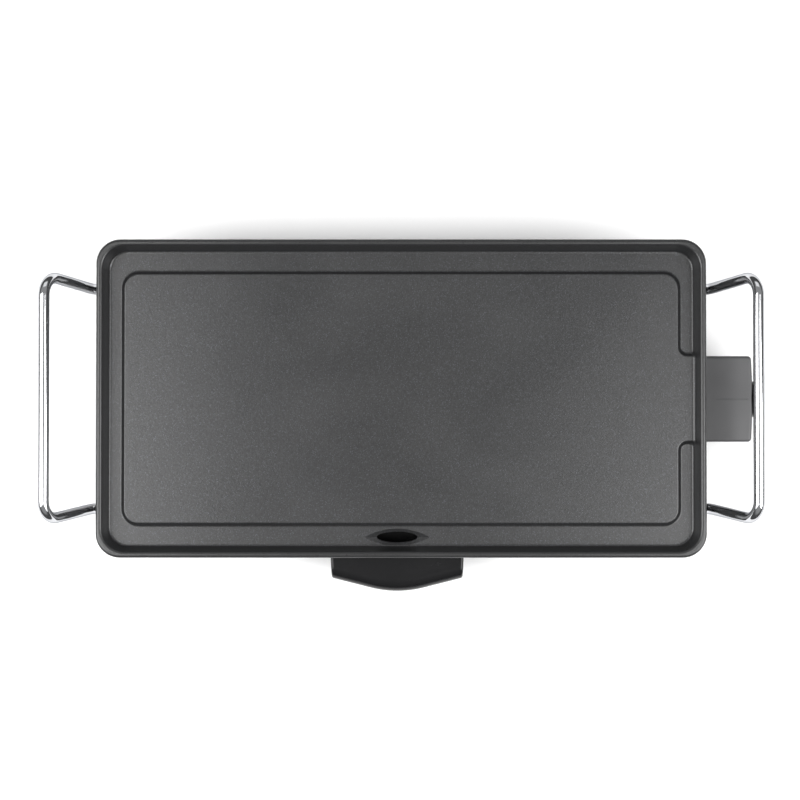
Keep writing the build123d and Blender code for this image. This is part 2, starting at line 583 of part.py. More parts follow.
# What passes through the casing's walls: probe, pins, spindle, lamp and cord gland.
with BuildPart() as case_openings:
    with BuildSketch(facing_x(NOSE_START - 1)):
        with Locations((0, AXIS_Z)):
            Circle(PROBE_R + FIT)
        with Locations((PIN_Y, AXIS_Z), (-PIN_Y, AXIS_Z)):
            Circle(PIN_R + 0.6)
    extrude(amount=CASE_WALL + 1.2)
    with BuildSketch(facing_x(CASE_END - CASE_BOW - CASE_WALL)):
        with Locations((0, AXIS_Z)):
            Circle(SPINDLE_R + 0.3)
        with Locations((LAMP_Y, LAMP_Z)):
            Circle(LENS_R + FIT)
    extrude(amount=CASE_BOW + CASE_WALL + 2)
    with BuildSketch(facing_front(CASE_WIDTH / 2 + 1)):
        with Locations((GLAND_X, AXIS_Z)):
            Circle(GLAND_R + FIT)
    extrude(amount=CASE_WALL + 2)

with BuildPart() as control_upper_casing:
    add(case_block(PARTING_Z, CASE_TOP, 0))
    fillet(control_upper_casing.faces().sort_by(Axis.Z)[-1].edges(), radius=CASE_EDGE)
    add(nose_block(PARTING_Z, NOSE_TOP, 0))
    add(case_block(AXIS_Z, CASE_TOP - CASE_WALL, CASE_WALL), mode=Mode.SUBTRACT)
    add(nose_block(AXIS_Z, NOSE_TOP - CASE_WALL, CASE_WALL), mode=Mode.SUBTRACT)
    add(case_screw_posts(PARTING_Z, CASE_TOP - CASE_WALL, POST_R))
    add(case_screw_posts(PARTING_Z, CASE_TOP - CASE_WALL, POST_CORE_R), mode=Mode.SUBTRACT)
    add(case_openings.part, mode=Mode.SUBTRACT)
    # pointer line for the dial, cut in the top
    with BuildSketch(level(CASE_TOP)):
        with Locations((CASE_END - POINTER_INSET, 0)):
            SlotOverall(POINTER_LENGTH, POINTER_WIDTH)
    extrude(amount=-POINTER_DEPTH, mode=Mode.SUBTRACT)
control_upper_casing.part.label = "control_upper_casing"
export_step(control_upper_casing.part, "parts/control_upper_casing.step")

with BuildPart() as control_lower_casing:
    add(case_block(CASE_BASE, AXIS_Z, 0))
    fillet(control_lower_casing.faces().sort_by(Axis.Z)[0].edges(), radius=CASE_EDGE)
    add(nose_block(NOSE_BASE, AXIS_Z, 0))
    add(case_block(CASE_BASE + CASE_WALL, AXIS_Z + 1, CASE_WALL), mode=Mode.SUBTRACT)
    add(nose_block(NOSE_BASE + CASE_WALL, AXIS_Z + 1, CASE_WALL), mode=Mode.SUBTRACT)
    add(case_screw_posts(CASE_BASE + CASE_WALL, AXIS_Z, POST_R))
    add(case_screw_posts(CASE_BASE, AXIS_Z, POST_BORE_R), mode=Mode.SUBTRACT)
    add(case_screw_posts(CASE_BASE, CASE_BASE + COUNTERBORE, COUNTERBORE_R), mode=Mode.SUBTRACT)
    add(case_openings.part, mode=Mode.SUBTRACT)
control_lower_casing.part.label = "control_lower_casing"
export_step(control_lower_casing.part, "parts/control_lower_casing.step")

for number, (x, y) in enumerate(CASE_SCREWS, start=1):
    seat = level(CASE_BASE + COUNTERBORE).move(Location((x, y, 0)))
    case_screw = screw(seat, 2.8, 2.2, CASE_SCREW_R, 17, 2.8)
    case_screw.label = f"case_screw_{number}"
    export_step(case_screw, f"parts/case_screw_{number}.step")

# ---------------------------------------------------------------- what the controller holds
with BuildPart() as probe_rod:
    with BuildSketch(facing_x(PROBE_TIP)):
        with Locations((0, AXIS_Z)):
            Circle(PROBE_R)
    extrude(amount=PROBE_END - PROBE_TIP)
    fillet(probe_rod.edges().sort_by(Axis.X)[0], radius=2.6)
probe_rod.part.label = "probe_rod"
export_step(probe_rod.part, "parts/probe_rod.step")

with BuildPart() as probe_bush:
    with BuildSketch(facing_x(CARRIER_END + 0.3)):
        with Locations((0, AXIS_Z)):
            RegularPolygon(6, 6)
            Circle(PROBE_R + FIT, mode=Mode.SUBTRACT)
    extrude(amount=4)
probe_bush.part.label = "probe_bush"
export_step(probe_bush.part, "parts/probe_bush.step")

with BuildPart() as socket_carrier:
    with BuildSketch(facing_x(CARRIER_START)):
        with Locations((0, AXIS_Z)):
            RectangleRounded(CARRIER_WIDTH, CARRIER_HEIGHT, 1.5)
            Circle(PROBE_R + FIT, mode=Mode.SUBTRACT)
        with Locations((PIN_Y, AXIS_Z), (-PIN_Y, AXIS_Z)):
            Circle(SOCKET_R + FIT, mode=Mode.SUBTRACT)
    extrude(amount=CARRIER_END - CARRIER_START)
socket_carrier.part.label = "socket_carrier"
export_step(socket_carrier.part, "parts/socket_carrier.step")

for number, y in ((1, PIN_Y), (2, -PIN_Y)):
    with BuildPart() as contact_socket:
        with BuildSketch(facing_x(CARRIER_START + 0.5)):
            with Locations((y, AXIS_Z)):
                Circle(SOCKET_R)
        extrude(amount=SOCKET_END - CARRIER_START - 0.5)
        with BuildSketch(facing_x(CARRIER_START + 0.5)):
            with Locations((y, AXIS_Z)):
                Circle(PIN_R + 0.15)
        extrude(amount=PIN_END - CARRIER_START, mode=Mode.SUBTRACT)
    contact_socket.part.label = f"contact_socket_{number}"
    export_step(contact_socket.part, f"parts/contact_socket_{number}.step")

# Thermostat: a folded frame with the probe at one end and the spindle at the other, and two
# contact blades on a ceramic stack below the spindle.
with BuildPart() as thermostat_frame:
    with BuildSketch(facing_front(-FRAME_WIDTH / 2)):
        with BuildLine():
            Polyline(
                (FRAME_START, AXIS_Z + 6),
                (FRAME_START, FRAME_Z),
                (FRAME_END, FRAME_Z),
                (FRAME_END, AXIS_Z + 6),
            )
        trace(line_width=FRAME_SHEET)
    extrude(amount=-FRAME_WIDTH)
    with BuildSketch(facing_x(FRAME_START - 1)):
        with Locations((0, AXIS_Z)):
            Circle(PROBE_R + FIT)
    extrude(amount=2, mode=Mode.SUBTRACT)
    with BuildSketch(facing_x(FRAME_END - 1)):
        with Locations((0, AXIS_Z)):
            Circle(SPINDLE_R + FIT)
    extrude(amount=2, mode=Mode.SUBTRACT)
thermostat_frame.part.label = "thermostat_frame"
export_step(thermostat_frame.part, "parts/thermostat_frame.step")

STACK_BASE = FRAME_Z + FRAME_SHEET / 2
STACK_TOP = STACK_BASE + STACK_HEIGHT
with BuildPart() as thermostat_stack:
    with BuildSketch(level(STACK_BASE)):
        with Locations((STACK_X, 0)):
            Rectangle(10, 12)
    extrude(amount=STACK_HEIGHT)
thermostat_stack.part.label = "thermostat_stack"
export_step(thermostat_stack.part, "parts/thermostat_stack.step")


def blade(height, contact_side):
    """A thin contact blade with a round contact at its free end, above or below it."""
    with BuildPart() as strip:
        with BuildSketch(level(height)):
            with Locations((STACK_X + 7, 0)):
                RectangleRounded(BLADE_LENGTH, 6, 1)
        extrude(amount=BLADE_SHEET)
        with BuildSketch(level(height + (BLADE_SHEET if contact_side > 0 else 0))):
            with Locations((STACK_X + 16, 0)):
                Circle(CONTACT_R)
        extrude(amount=contact_side * CONTACT_HEIGHT)
    return strip.part


fixed_contact_blade = blade(STACK_TOP, 1)
fixed_contact_blade.label = "fixed_contact_blade"
export_step(fixed_contact_blade, "parts/fixed_contact_blade.step")

with BuildPart() as blade_spacer:
    with BuildSketch(level(STACK_TOP + BLADE_SHEET)):
        with Locations((STACK_X, 0)):
            Rectangle(8, 8)
    extrude(amount=BLADE_GAP - BLADE_SHEET)
blade_spacer.part.label = "blade_spacer"
export_step(blade_spacer.part, "parts/blade_spacer.step")

moving_contact_blade = blade(STACK_TOP + BLADE_GAP, -1)
moving_contact_blade.label = "moving_contact_blade"
export_step(moving_contact_blade, "parts/moving_contact_blade.step")

with BuildPart() as indicator_lens:
    with BuildSketch(facing_x(CASE_END - CASE_BOW - CASE_WALL)):
        with Locations((LAMP_Y, LAMP_Z)):
            Circle(LENS_R)
    extrude(amount=CASE_BOW + CASE_WALL + 0.4)
    fillet(indicator_lens.edges().sort_by(Axis.X)[-1], radius=1.2)
indicator_lens.part.label = "indicator_lens"
export_step(indicator_lens.part, "parts/indicator_lens.step")

with BuildPart() as indicator_lamp:
    with BuildSketch(facing_x(CASE_END - CASE_BOW - CASE_WALL - 0.3)):
        with Locations((LAMP_Y, LAMP_Z)):
            Circle(LENS_R - 0.4)
    extrude(amount=-LAMP_LENGTH)
    fillet(indicator_lamp.edges().sort_by(Axis.X)[-1], radius=1.4)
indicator_lamp.part.label = "indicator_lamp"
export_step(indicator_lamp.part, "parts/indicator_lamp.step")

with BuildPart() as cord_gland:
    with BuildSketch(facing_front(CASE_WIDTH / 2)):
        with Locations((GLAND_X, AXIS_Z)):
            Circle(GLAND_R)
    extrude(amount=GLAND_LENGTH)
    with BuildSketch(facing_front(CASE_WIDTH / 2 - CASE_WALL - 0.3)):
        with Locations((GLAND_X, AXIS_Z)):
            Circle(GLAND_R + GLAND_LIP)
    extrude(amount=2)
    with BuildSketch(facing_front(CASE_WIDTH / 2)):
        with Locations((GLAND_X, AXIS_Z)):
            Circle(GLAND_BORE)
    extrude(amount=GLAND_LENGTH, mode=Mode.SUBTRACT)
cord_gland.part.label = "cord_gland"
export_step(cord_gland.part, "parts/cord_gland.step")

# Internal leads, from the tails of the contact sockets to the gland's inner end.
for name, stops in LEADS.items():
    with BuildPart() as lead:
        with BuildLine() as lead_route:
            FilletPolyline(*[at(*stop) for stop in stops], radius=LEAD_BEND)
        with BuildSketch(Plane(origin=lead_route.line @ 0, z_dir=lead_route.line % 0)):
            Circle(LEAD_R)
        sweep()
    lead.part.label = f"lead_{name}"
    export_step(lead.part, f"parts/lead_{name}.step")

# ---------------------------------------------------------------- dial
with BuildPart() as dial_spindle:
    with BuildSketch(facing_x(SPINDLE_START)):
        with Locations((0, AXIS_Z)):
            Circle(SPINDLE_R)
    extrude(amount=DIAL_FACE - 2.5 - SPINDLE_START)
    chamfer(dial_spindle.edges().filter_by(GeomType.CIRCLE).sort_by(Axis.X)[-1], length=0.4)
dial_spindle.part.label = "dial_spindle"
export_step(dial_spindle.part, "parts/dial_spindle.step")

with BuildPart() as temperature_dial:
    with BuildSketch(facing_x(DIAL_BACK)):
        with Locations((0, AXIS_Z)):
            Circle(DIAL_R)
    extrude(amount=DIAL_FACE - DIAL_BACK)
    fillet(temperature_dial.faces().sort_by(Axis.X)[-1].edges(), radius=1.6)
    # shallow dish in the face, grip flutes round the rim, blind bore for the spindle
    with BuildSketch(facing_x(DIAL_FACE)):
        with Locations((0, AXIS_Z)):
            Circle(DISH_R)
    extrude(amount=-DISH_DEPTH, taper=20, mode=Mode.SUBTRACT)
    with BuildSketch(facing_x(DIAL_BACK + 1.6)):
        with Locations((0, AXIS_Z)):
            with PolarLocations(DIAL_R + 0.5, FLUTES):
                Circle(FLUTE_R)
    extrude(amount=DIAL_FACE - DIAL_BACK, mode=Mode.SUBTRACT)
    with BuildSketch(facing_x(DIAL_BACK)):
        with Locations((0, AXIS_Z)):
            Circle(SPINDLE_R + 0.02)
    extrude(amount=DIAL_FACE - DIAL_BACK - 2.4, mode=Mode.SUBTRACT)
temperature_dial.part.label = "temperature_dial"
export_step(temperature_dial.part, "parts/temperature_dial.step")
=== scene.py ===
"""Electric griddle: finishes for its cast, moulded and plated pieces, and new surfaces for its
handles, dial, pads and markings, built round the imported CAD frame."""

import bpy
import numpy as np
from bpy.props import FloatProperty, FloatVectorProperty, IntProperty, PointerProperty
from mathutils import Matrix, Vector


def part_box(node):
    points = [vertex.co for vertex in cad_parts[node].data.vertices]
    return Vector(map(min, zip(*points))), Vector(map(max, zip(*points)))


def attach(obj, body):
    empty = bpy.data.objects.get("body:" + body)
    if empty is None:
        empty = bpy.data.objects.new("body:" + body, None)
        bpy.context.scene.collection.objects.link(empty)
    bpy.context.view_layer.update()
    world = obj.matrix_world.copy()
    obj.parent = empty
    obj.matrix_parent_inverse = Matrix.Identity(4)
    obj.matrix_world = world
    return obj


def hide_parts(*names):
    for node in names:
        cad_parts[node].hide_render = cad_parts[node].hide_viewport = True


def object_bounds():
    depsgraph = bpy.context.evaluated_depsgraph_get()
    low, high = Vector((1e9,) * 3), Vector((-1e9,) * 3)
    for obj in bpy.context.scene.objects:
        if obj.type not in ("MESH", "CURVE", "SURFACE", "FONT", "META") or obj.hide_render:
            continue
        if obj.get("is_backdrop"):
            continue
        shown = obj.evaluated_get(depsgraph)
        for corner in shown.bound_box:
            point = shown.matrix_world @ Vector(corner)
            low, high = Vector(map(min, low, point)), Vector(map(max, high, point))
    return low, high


bl_info = {
    "name": "Electric Griddle",
    "version": (1, 0, 0),
    "blender": (4, 5, 0),
    "location": "View3D > Sidebar > Griddle",
    "description": "Builds the pieces and finishes of a table-top electric griddle",
    "category": "Add Mesh",
}

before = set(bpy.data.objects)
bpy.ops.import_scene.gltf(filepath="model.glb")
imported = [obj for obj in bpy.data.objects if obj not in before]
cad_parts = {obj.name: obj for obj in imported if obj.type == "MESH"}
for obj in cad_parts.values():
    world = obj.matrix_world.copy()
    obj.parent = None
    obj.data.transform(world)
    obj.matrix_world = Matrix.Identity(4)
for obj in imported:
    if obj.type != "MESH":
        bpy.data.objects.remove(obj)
CAD_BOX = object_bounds()

PLATE_LOW, PLATE_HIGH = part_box("griddle_plate")
PLATE_CENTRE = (PLATE_LOW + PLATE_HIGH) / 2
RIM_TOP = PLATE_HIGH.z
DIAL_LOW, DIAL_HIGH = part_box("temperature_dial")
CORNERS = ("front_left", "front_right", "rear_left", "rear_right")
SIDES = ("left", "right")
TURN = 2 * np.pi

ARC_STEPS = 24  # points along one bend of a handle
PAD_SIDES = 64  # points round a pad
PAD_DISC, PAD_PEG = 0.25, 0.468  # the disc's share of a pad's height, and the peg's of its radius
TREAD_RINGS = (0.35, 0.55, 0.75)  # where the rings under a pad start, as shares of its radius
DISH_DEPTH, DISH_LIP, DISH_FLOOR = 0.0007, 0.72, 0.66  # depth, and edges as shares of the dial's radius
FLUTE_START, FLUTE_SHARE = 0.0012, 0.8  # the flutes begin above this height and outside this share
FLUTE_POINTS = 12  # points round the dial for each flute
DIAL_SWEEP = 280.0  # degrees from the first number to the last
NUMERAL_SHARE, NUMERAL_RELIEF = 0.5, 0.00006  # place of the numbers' middles, and their half thickness
FLOOR_SIDES = 96  # corners of the round floor
CAMERA_AIM = Vector((-0.0009, -0.0013, 0.0))  # where the camera looks, from the middle of the rim's top
WALLS_END, CEILING_START = 0.30, 0.60  # heights on a sphere of radius 1 round the object


def box_middle(name):
    """The middle of a CAD node's box."""
    low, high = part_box(name)
    return (low + high) / 2


# ---------------------------------------------------------------- surfaces
def mesh_piece(name, points, faces, body, material, smooth=True):
    """A new object at the origin from points (n, 3) and faces, riding on a body."""
    mesh = bpy.data.meshes.new(name)
    mesh.from_pydata(points.tolist(), [], [list(face) for face in faces])
    mesh.polygons.foreach_set("use_smooth", np.full(len(mesh.polygons), smooth))
    mesh.update()
    mesh.materials.append(material)
    piece = bpy.data.objects.new(name, mesh)
    bpy.context.scene.collection.objects.link(piece)
    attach(piece, body)
    return piece


def closed_tube(grid):
    """Points and faces of a tube from grid (rings, sides, 3): each ring joins the next with quads,
    and a fan round the middle of the first and the last ring closes the ends."""
    rings, sides = grid.shape[:2]
    index = np.arange(rings * sides).reshape(rings, sides)
    beside = np.roll(index, -1, axis=1)
    quads = np.stack((index[:-1], beside[:-1], beside[1:], index[1:]), axis=-1).reshape(-1, 4)
    first, last = rings * sides, rings * sides + 1
    start = np.stack((beside[0], index[0], np.full(sides, first)), axis=-1)
    end = np.stack((index[-1], beside[-1], np.full(sides, last)), axis=-1)
    points = np.concatenate((grid.reshape(-1, 3), grid[:1].mean(axis=1), grid[-1:].mean(axis=1)))
    return points, quads.tolist() + start.tolist() + end.tolist()


def rounded_route(corners, radius, steps):
    """Points along straight runs joined by arcs. At a corner that turns by angle a, the arc starts
    radius * tan(a / 2) before the corner, and its points are centre + radius * (cos, sin) of an
    angle that goes evenly from 0 to a."""
    stretches = [corners[:1]]
    for before, corner, after in zip(corners, corners[1:], corners[2:]):
        along = (corner - before) / np.linalg.norm(corner - before)
        away = (after - corner) / np.linalg.norm(after - corner)
        turn = np.arccos(np.clip(along @ away, -1, 1))
        start = corner - along * radius * np.tan(turn / 2)
        inward = away - along * (along @ away)
        inward /= np.linalg.norm(inward)
        angle = np.linspace(0, turn, steps)[:, None]
        sideways, onward = radius * (1 - np.cos(angle)), radius * np.sin(angle)
        stretches.append(start + inward * sideways + along * onward)
    stretches.append(corners[-1:])
    return np.concatenate(stretches)


def wire_surface(route, radius, sides, across):
    """A round wire: point = route(s) + radius * (cos(t) * n + sin(t) * b), where n is the vector
    across made square to the route's direction and b is square to both."""
    direction = np.gradient(route, axis=0)
    direction /= np.linalg.norm(direction, axis=1, keepdims=True)
    normal = across - direction * (direction @ across)[:, None]
    normal /= np.linalg.norm(normal, axis=1, keepdims=True)
    binormal = np.cross(direction, normal)
    angle = np.linspace(0, TURN, sides, endpoint=False)
    return (
        route[:, None]
        + radius * np.cos(angle)[None, :, None] * normal[:, None]
        + radius * np.sin(angle)[None, :, None] * binormal[:, None]
    )


def turned_surface(along, radius, centre, axis, sides, ripple=None):
    """A turned shape: point = centre + along(s) * axis + radius(s) * ripple(s, t) * (cos(t) * u +
    sin(t) * v), with u and v square to the axis."""
    axis = np.asarray(axis, float)
    u = np.roll(axis, 1)
    v = np.cross(axis, u)
    angle = np.linspace(0, TURN, sides, endpoint=False)
    reach = np.repeat(radius[:, None], sides, axis=1)
    if ripple is not None:
        reach = reach * ripple(np.arange(len(along))[:, None], angle[None])
    around = np.cos(angle)[None, :, None] * u + np.sin(angle)[None, :, None] * v
    return np.asarray(centre) + along[:, None, None] * axis + reach[..., None] * around


def filleted_profile(stops, radii, steps=5):
    """A profile of (along, radius) pairs with every inner corner rounded as rounded_route does,
    each by its own one of radii."""
    stops = np.column_stack((np.asarray(stops, float), np.zeros(len(stops))))
    parts = [stops[:1]]
    for place, radius in enumerate(radii):
        parts.append(rounded_route(stops[place : place + 3], radius, steps)[1:-1])
    parts.append(stops[-1:])
    profile = np.concatenate(parts)
    return profile[:, 0], profile[:, 1]


def pad_profile(reach, height, groove):
    """Half section of a foot pad as filleted_profile gives it, from the middle of its underside,
    over three shallow rings, the disc's edge and its top, up the peg to the middle of its end."""
    disc, peg = height * PAD_DISC, reach * PAD_PEG
    stops = [(0.0, 0.002)]
    for share in TREAD_RINGS:
        ring = reach * share
        stops += [(0.0, ring), (groove, ring + groove)]
        stops += [(groove, ring + 2 * groove), (0.0, ring + 3 * groove)]
    stops += [(0.0, reach), (disc, reach), (disc, peg), (height, peg), (height, 0.001)]
    tread_edges = [0.0002] * 4 * len(TREAD_RINGS)
    disc_edges, peg_edges = [0.0008, 0.0006], [0.0003, 0.0008]
    return filleted_profile(stops, tread_edges + disc_edges + peg_edges)


def dial_profile(reach, depth):
    """Half section of the dial as filleted_profile gives it, from the middle of its back, up its
    side and over its lip to the middle of the dished face."""
    stops = [
        (0.0, 0.001),
        (0.0, reach),
        (depth, reach),
        (depth, reach * DISH_LIP),
        (depth - DISH_DEPTH, reach * DISH_FLOOR),
        (depth - DISH_DEPTH, 0.0005),
    ]
    back_edge, rim_edge, dish_edge = 0.0004, 0.0016, 0.0004
    return filleted_profile(stops, [back_edge, rim_edge, dish_edge, dish_edge], steps=8)


def flat_text(body, size):
    """Points and faces of a text that lies flat, centred on the origin, reading along X."""
    text = bpy.data.curves.new("numeral", "FONT")
    text.body = body
    text.size = size
    text.extrude = NUMERAL_RELIEF
    text.align_x = "CENTER"
    text.align_y = "CENTER"
    holder = bpy.data.objects.new("numeral", text)
    bpy.context.scene.collection.objects.link(holder)
    solid = holder.evaluated_get(bpy.context.evaluated_depsgraph_get())
    shape = bpy.data.meshes.new_from_object(solid)
    points = np.empty(len(shape.vertices) * 3)
    shape.vertices.foreach_get("co", points)
    faces = [list(polygon.vertices) for polygon in shape.polygons]
    bpy.data.objects.remove(holder)
    bpy.data.curves.remove(text)
    bpy.data.meshes.remove(shape)
    return points.reshape(-1, 3), faces


# ---------------------------------------------------------------- shader groups
def shader_group(name, inputs, outputs):
    """An empty shader node group with named sockets, and its input and output nodes."""
    group = bpy.data.node_groups.new(name, "ShaderNodeTree")
    for label, kind, value in inputs:
        socket = group.interface.new_socket(label, in_out="INPUT", socket_type=kind)
        if value is not None:
            socket.default_value = value
    for label, kind in outputs:
        group.interface.new_socket(label, in_out="OUTPUT", socket_type=kind)
    return group, group.nodes.new("NodeGroupInput"), group.nodes.new("NodeGroupOutput")


def add_node(tree, kind, links=None, **values):
    """A node whose inputs are linked to the sockets in links, or set to the plain values there, and
    whose own properties are set from values."""
    node = tree.nodes.new(kind)
    for key, value in values.items():
        setattr(node, key, value)
    for socket, source in (links or {}).items():
        if isinstance(source, bpy.types.NodeSocket):
            tree.links.new(source, node.inputs[socket])
        else:
            node.inputs[socket].default_value = source
    return node


def make_grain_group():
    """Moulded or sprayed grain: fine noise raised over the surface, as a bumped normal."""
    group, given, result = shader_group(
        "Grain",
        (
            ("Vector", "NodeSocketVector", None),
            ("Scale", "NodeSocketFloat", 900.0),
            ("Roundness", "NodeSocketFloat", 0.5),
            ("Strength", "NodeSocketFloat", 0.2),
            ("Depth", "NodeSocketFloat", 0.0001),
        ),
        (("Normal", "NodeSocketVector"), ("Height", "NodeSocketFloat")),
    )
    noise = add_node(
        group,
        "ShaderNodeTexNoise",
        {
            "Vector": given.outputs["Vector"],
            "Scale": given.outputs["Scale"],
            "Detail": 3.0,
            "Roughness": given.outputs["Roundness"],
        },
    )
    bump = add_node(
        group,
        "ShaderNodeBump",
        {
            "Height": noise.outputs["Fac"],
            "Strength": given.outputs["Strength"],
            "Distance": given.outputs["Depth"],
        },
    )
    group.links.new(bump.outputs["Normal"], result.inputs["Normal"])
    group.links.new(noise.outputs["Fac"], result.inputs["Height"])
    return group


def make_flake_group():
    """Metal flake in a coating: each cell has its own tone, and the share of cells above the
    threshold shine."""
    group, given, result = shader_group(
        "Flake",
        (
            ("Vector", "NodeSocketVector", None),
            ("Scale", "NodeSocketFloat", 1300.0),
            ("Threshold", "NodeSocketFloat", 0.8),
        ),
        (("Mask", "NodeSocketFloat"), ("Tone", "NodeSocketFloat")),
    )
    cells = add_node(
        group, "ShaderNodeTexVoronoi", {"Vector": given.outputs["Vector"], "Scale": given.outputs["Scale"]}
    )
    tone = add_node(group, "ShaderNodeSeparateColor", {"Color": cells.outputs["Color"]})
    above = add_node(
        group,
        "ShaderNodeMapRange",
        {"Value": tone.outputs["Red"], "From Min": given.outputs["Threshold"], "From Max": 1.0},
    )
    core = add_node(
        group, "ShaderNodeMapRange", {"Value": cells.outputs["Distance"], "From Min": 0.55, "From Max": 0.2}
    )
    mask = add_node(
        group,
        "ShaderNodeMath",
        {0: above.outputs["Result"], 1: core.outputs["Result"]},
        operation="MULTIPLY",
    )
    group.links.new(mask.outputs["Value"], result.inputs["Mask"])
    group.links.new(tone.outputs["Green"], result.inputs["Tone"])
    return group


def make_handling_group():
    """Handling marks: broad cloudy patches, mapped between the value of the clean surface and that of
    the worn one."""
    group, given, result = shader_group(
        "Handling",
        (
            ("Vector", "NodeSocketVector", None),
            ("Scale", "NodeSocketFloat", 18.0),
            ("Clean", "NodeSocketFloat", 0.3),
            ("Worn", "NodeSocketFloat", 0.5),
        ),
        (("Value", "NodeSocketFloat"), ("Mask", "NodeSocketFloat")),
    )
    clouds = add_node(
        group,
        "ShaderNodeTexNoise",
        {
            "Vector": given.outputs["Vector"],
            "Scale": given.outputs["Scale"],
            "Detail": 6.0,
            "Distortion": 0.6,
        },
    )
    mapped = add_node(
        group,
        "ShaderNodeMapRange",
        {
            "Value": clouds.outputs["Fac"],
            "From Min": 0.3,
            "From Max": 0.7,
            "To Min": given.outputs["Clean"],
            "To Max": given.outputs["Worn"],
        },
    )
    group.links.new(mapped.outputs["Result"], result.inputs["Value"])
    group.links.new(clouds.outputs["Fac"], result.inputs["Mask"])
    return group


def make_brushing_group():
    """Drawn or brushed metal: noise stretched along one axis, as a tone and a bumped normal."""
    group, given, result = shader_group(
        "Brushing",
        (
            ("Vector", "NodeSocketVector", None),
            ("Stretch", "NodeSocketVector", (40.0, 2500.0, 2500.0)),
            ("Strength", "NodeSocketFloat", 0.2),
        ),
        (("Normal", "NodeSocketVector"), ("Tone", "NodeSocketFloat")),
    )
    stretched = add_node(
        group,
        "ShaderNodeVectorMath",
        {0: given.outputs["Vector"], 1: given.outputs["Stretch"]},
        operation="MULTIPLY",
    )
    lines = add_node(
        group, "ShaderNodeTexNoise", {"Vector": stretched.outputs["Vector"], "Scale": 1.0, "Detail": 4.0}
    )
    bump = add_node(
        group,
        "ShaderNodeBump",
        {"Height": lines.outputs["Fac"], "Strength": given.outputs["Strength"], "Distance": 0.00005},
    )
    group.links.new(bump.outputs["Normal"], result.inputs["Normal"])
    group.links.new(lines.outputs["Fac"], result.inputs["Tone"])
    return group


def make_height_group():
    """Mask of what stands above a height: 0 below it, 1 a little above it, broken up by noise."""
    group, given, result = shader_group(
        "Height band",
        (
            ("Vector", "NodeSocketVector", None),
            ("Height", "NodeSocketFloat", 0.08),
            ("Width", "NodeSocketFloat", 0.001),
            ("Raggedness", "NodeSocketFloat", 0.0005),
            ("Scale", "NodeSocketFloat", 60.0),
        ),
        (("Mask", "NodeSocketFloat"),),
    )
    axes = add_node(group, "ShaderNodeSeparateXYZ", {"Vector": given.outputs["Vector"]})
    noise = add_node(
        group,
        "ShaderNodeTexNoise",
        {"Vector": given.outputs["Vector"], "Scale": given.outputs["Scale"], "Detail": 5.0},
    )
    centred = add_node(group, "ShaderNodeMath", {0: noise.outputs["Fac"], 1: 0.5}, operation="SUBTRACT")
    ragged = add_node(
        group,
        "ShaderNodeMath",
        {0: centred.outputs["Value"], 1: given.outputs["Raggedness"], 2: axes.outputs["Z"]},
        operation="MULTIPLY_ADD",
    )
    top = add_node(
        group, "ShaderNodeMath", {0: given.outputs["Height"], 1: given.outputs["Width"]}, operation="ADD"
    )
    mask = add_node(
        group,
        "ShaderNodeMapRange",
        {
            "Value": ragged.outputs["Value"],
            "From Min": given.outputs["Height"],
            "From Max": top.outputs["Value"],
        },
    )
    group.links.new(mask.outputs["Result"], result.inputs["Mask"])
    return group


GROUP_MAKERS = {
    "Grain": make_grain_group,
    "Flake": make_flake_group,
    "Handling": make_handling_group,
    "Brushing": make_brushing_group,
    "Height band": make_height_group,
}


def effect(tree, name, vector, **values):
    """One of the shared groups in a material: each keyword sets the input of the same name."""
    group = bpy.data.node_groups.get(name) or GROUP_MAKERS[name]()
    node = tree.nodes.new("ShaderNodeGroup")
    node.node_tree = group
    tree.links.new(vector, node.inputs["Vector"])
    for label, value in values.items():
        node.inputs[label.capitalize()].default_value = value
    return node


# ---------------------------------------------------------------- materials
def new_finish(name, **sockets):
    """A material with one Principled BSDF whose plain sockets are set, its node tree, the shader and
    the vector of Object coordinates."""
    material = bpy.data.materials.new(name)
    material.use_nodes = True
    tree = material.node_tree
    tree.nodes.clear()
    shader = tree.nodes.new("ShaderNodeBsdfPrincipled")
    output = tree.nodes.new("ShaderNodeOutputMaterial")
    tree.links.new(shader.outputs["BSDF"], output.inputs["Surface"])
    for label, value in sockets.items():
        shader.inputs[label.replace("_", " ")].default_value = value
    vector = tree.nodes.new("ShaderNodeTexCoord").outputs["Object"]
    return material, tree, shader, vector


def tinted(tree, factor, low, high):
    """A colour that goes from low to high with factor."""
    mix = add_node(tree, "ShaderNodeMix", data_type="RGBA")
    tree.links.new(factor, mix.inputs["Factor"])
    mix.inputs["A"].default_value = (*low, 1.0)
    mix.inputs["B"].default_value = (*high, 1.0)
    return mix


def scaled(colour, amount):
    """A colour made lighter or darker."""
    return tuple(min(1.0, channel * amount) for channel in colour)


